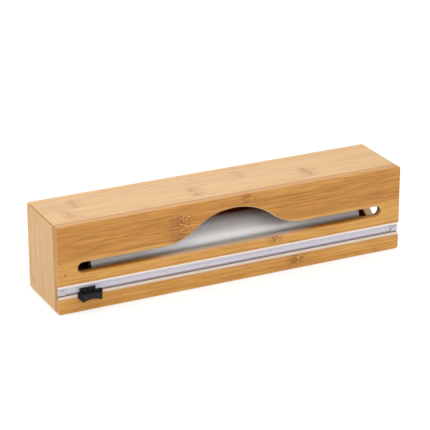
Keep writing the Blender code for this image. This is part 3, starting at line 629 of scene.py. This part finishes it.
# Grey card, wound in a spiral and glued: matt, with the seam of the outer ply and short loose fibres.
card = {
    "ply": "#8E8272", "pale": "#A89C8A", "seam": "#6C6152", "pitch": 70, "seamWidth": (0.018, 0.006),
    "pulp": 0.8, "pulpDetail": 4, "pulpRoughness": 0.7, "roughness": 0.85, "relief": 0.3, "reliefDepth": 0.1,
}
material, tree = newMaterial("greyCard_spiralWound")
inMm = placeInMm(tree)
coreLow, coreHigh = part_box("film_core")
coreMiddle = tuple((coreLow + coreHigh) / 2 / mm)
fromAxis = addNode(tree, "VectorMath", [inMm, coreMiddle], operation="SUBTRACT")
axes = addNode(tree, "SeparateXYZ", [fromAxis]).outputs
angle = addNode(tree, "Math", [axes["Z"], axes["Y"]], operation="ARCTAN2")
turns = addNode(tree, "Math", [angle, 1 / (2 * math.pi)], operation="MULTIPLY")
spiral = addNode(tree, "Math", [axes["X"], 1 / card["pitch"], turns], operation="MULTIPLY_ADD")
spiral = addNode(tree, "Math", [spiral], operation="FRACT")
seam = addNode(tree, "MapRange", [spiral, *card["seamWidth"]])
pulp = addNode(tree, "TexNoise", {"Vector": inMm, "Scale": 1 / card["pulp"], "Detail": card["pulpDetail"],
                                  "Roughness": card["pulpRoughness"]})
shade = layColours(tree, hexColour(card["ply"]), [(pulp, card["pale"]), (seam, card["seam"])])
bump = addNode(tree, "Bump", {"Height": pulp, "Strength": card["relief"], "Distance": card["reliefDepth"] * mm})
paper = addNode(tree, "BsdfPrincipled", {"Base Color": shade, "Roughness": card["roughness"], "Normal": bump})
addNode(tree, "OutputMaterial", {"Surface": paper})
dressNode("film_core", material)
print("core finished")

# The wound film, modelled finer than the frame's plain roll: turns that don't quite line up at the ends, slight
# gauge bands round it, and the loose edge of the last turn.
roll = {
    "rings": 128, "stations": 150, "endRings": 14, "coreGap": 0.2, "shoulder": 0.35, "shoulderDrop": 0.12,
    "edgeStep": 0.16, "edgeAt": 118, "edgeGrowth": 4, "telescope": 0.22, "wander": (2.4, 0.7),
    # bands of gauge: share, length and start of each wave
    "gauge": 0.02, "bands": [(0.5, 4.1, 0), (0.3, 1.7, 1.3), (0.2, 11, 0.4)], "sharpAngle": 35,
}
low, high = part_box("film_winding")
rollLow, rollHigh = low / mm, high / mm
centreY, centreZ = (rollLow.y + rollHigh.y) / 2, (rollLow.z + rollHigh.z) / 2
boreRadius = (coreHigh.z - coreLow.z) / mm / 2 + roll["coreGap"]
outerRadius = (rollHigh.z - rollLow.z) / 2


def gaugeAt(x):
    # thickness bands of the film add up turn by turn into faint hoops
    waves = sum(share * math.sin(x / length + start) for share, length, start in roll["bands"])
    return roll["gauge"] * (waves - 1)


def endSection(side):
    # the cut edges of the turns at one end of the roll, from the bore out
    edge = rollLow.x if side < 0 else rollHigh.x
    first, second = roll["wander"]
    points = []
    for i in range(roll["endRings"] + 1):
        radius = boreRadius + (outerRadius - roll["shoulderDrop"] - boreRadius) * i / roll["endRings"]
        wander = roll["telescope"] / 2 * (1 + math.sin(i * first + side) * math.cos(i * second))
        points.append((edge - side * wander, radius))
    return points


profile = endSection(-1)
for i in range(roll["stations"] + 1):
    x = rollLow.x + roll["shoulder"] + (rollHigh.x - rollLow.x - 2 * roll["shoulder"]) * i / roll["stations"]
    profile.append((x, outerRadius + gaugeAt(x)))
profile += reversed(endSection(1))
mesh = bpy.data.meshes.new("filmRoll")
shape = bmesh.new()
columns = []
for j in range(roll["rings"]):
    turned = j / roll["rings"]
    angle = math.radians(roll["edgeAt"]) - 2 * math.pi * turned
    column = []
    for x, radius in profile:
        climb = (radius - boreRadius) / (outerRadius - boreRadius)
        spiralled = radius - roll["edgeStep"] * turned * climb ** roll["edgeGrowth"]
        y, z = centreY + spiralled * math.cos(angle), centreZ + spiralled * math.sin(angle)
        column.append(shape.verts.new((x * mm, y * mm, z * mm)))
    columns.append(column)
for j, column in enumerate(columns):
    following = columns[(j + 1) % len(columns)]
    for i in range(len(profile)):
        k = (i + 1) % len(profile)
        shape.faces.new((column[i], following[i], following[k], column[k]))
bmesh.ops.recalc_face_normals(shape, faces=shape.faces)
for face in shape.faces:
    face.smooth = True
for edge in shape.edges:
    if edge.calc_face_angle(0) > math.radians(roll["sharpAngle"]):
        edge.smooth = False
shape.to_mesh(mesh)
shape.free()
filmRoll = bpy.data.objects.new("filmRoll", mesh)
scene.collection.objects.link(filmRoll)

# PE cling film, blown and wound: its many clear turns look like dull silver, with close hoops and soft
# creases where air is trapped.
film = {
    "colour": "#E2E1E0", "pale": "#EDECEC", "ior": 1.51, "sheen": 0.2, "haze": 0.5, "hazeDepth": 8,
    "hazeRadius": (1, 1, 1), "roughness": (0.37, 0.5), "relief": 0.04, "reliefDepth": 0.06, "creaseRelief": 1.5,
    "hoop": 1.5, "hoopLength": 100, "hoopDetail": 3, "crease": 22, "creaseLength": 60, "creaseDetail": 2,
    # painted shade: beside the finger arch the film is made duller and browner, as less light reaches it through the
    # narrow slot
    "dulled": "#A3938A", "shadedFrom": (35, 95), "shadedShare": 0.6,
    # the turns' cut edges at the roll's ends are darker, partly their own grey and partly painted shade for the dark
    # inside the box
    "cutEdgeAndShade": "#3E3833", "cutFacing": (0.5, 0.8), "cutShare": 0.85,
}
material, tree = newMaterial("clingFilm_wound")
inMm = placeInMm(tree)
spacing = (1 / film["hoop"], 1 / film["hoopLength"], 1 / film["hoopLength"])
hoops = addNode(tree, "VectorMath", [inMm, spacing], operation="MULTIPLY")
hoops = addNode(tree, "TexNoise", {"Vector": hoops, "Scale": 1, "Detail": film["hoopDetail"]})
spacing = (1 / film["creaseLength"], 1 / film["crease"], 1 / film["crease"])
creases = addNode(tree, "VectorMath", [inMm, spacing], operation="MULTIPLY")
creases = addNode(tree, "TexNoise", {"Vector": creases, "Scale": 1, "Detail": film["creaseDetail"]})
aside = addNode(tree, "Math", [addNode(tree, "SeparateXYZ", [inMm]).outputs["X"]], operation="ABSOLUTE")
# painted shade beside the arch, and cut ends darkened partly by painted shade
dulled = addNode(tree, "MapRange", [aside, *film["shadedFrom"], 0, film["shadedShare"]])
endwise = addNode(tree, "Math", [surfaceFacing(tree)["X"]], operation="ABSOLUTE")
cutEnd = addNode(tree, "MapRange", [endwise, *film["cutFacing"], 0, film["cutShare"]])
shade = layColours(tree, hexColour(film["colour"]), [
    (hoops, film["pale"]), (dulled, film["dulled"]), (cutEnd, film["cutEdgeAndShade"])])
rough = addNode(tree, "MapRange", [creases, *noiseSpan, *film["roughness"]])
relief = addNode(tree, "Math", [creases, film["creaseRelief"], hoops], operation="MULTIPLY_ADD")
bump = addNode(tree, "Bump", {"Height": relief, "Strength": film["relief"], "Distance": film["reliefDepth"] * mm})
skin = addNode(tree, "BsdfPrincipled", {
    "Base Color": shade, "Roughness": rough, "IOR": film["ior"], "Metallic": film["sheen"], "Normal": bump,
    "Subsurface Weight": film["haze"], "Subsurface Radius": film["hazeRadius"],
    "Subsurface Scale": film["hazeDepth"] * mm})
addNode(tree, "OutputMaterial", {"Surface": skin})
mesh.materials.append(material)
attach(filmRoll, "roll")
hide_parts("film_winding")
print("film roll wound")
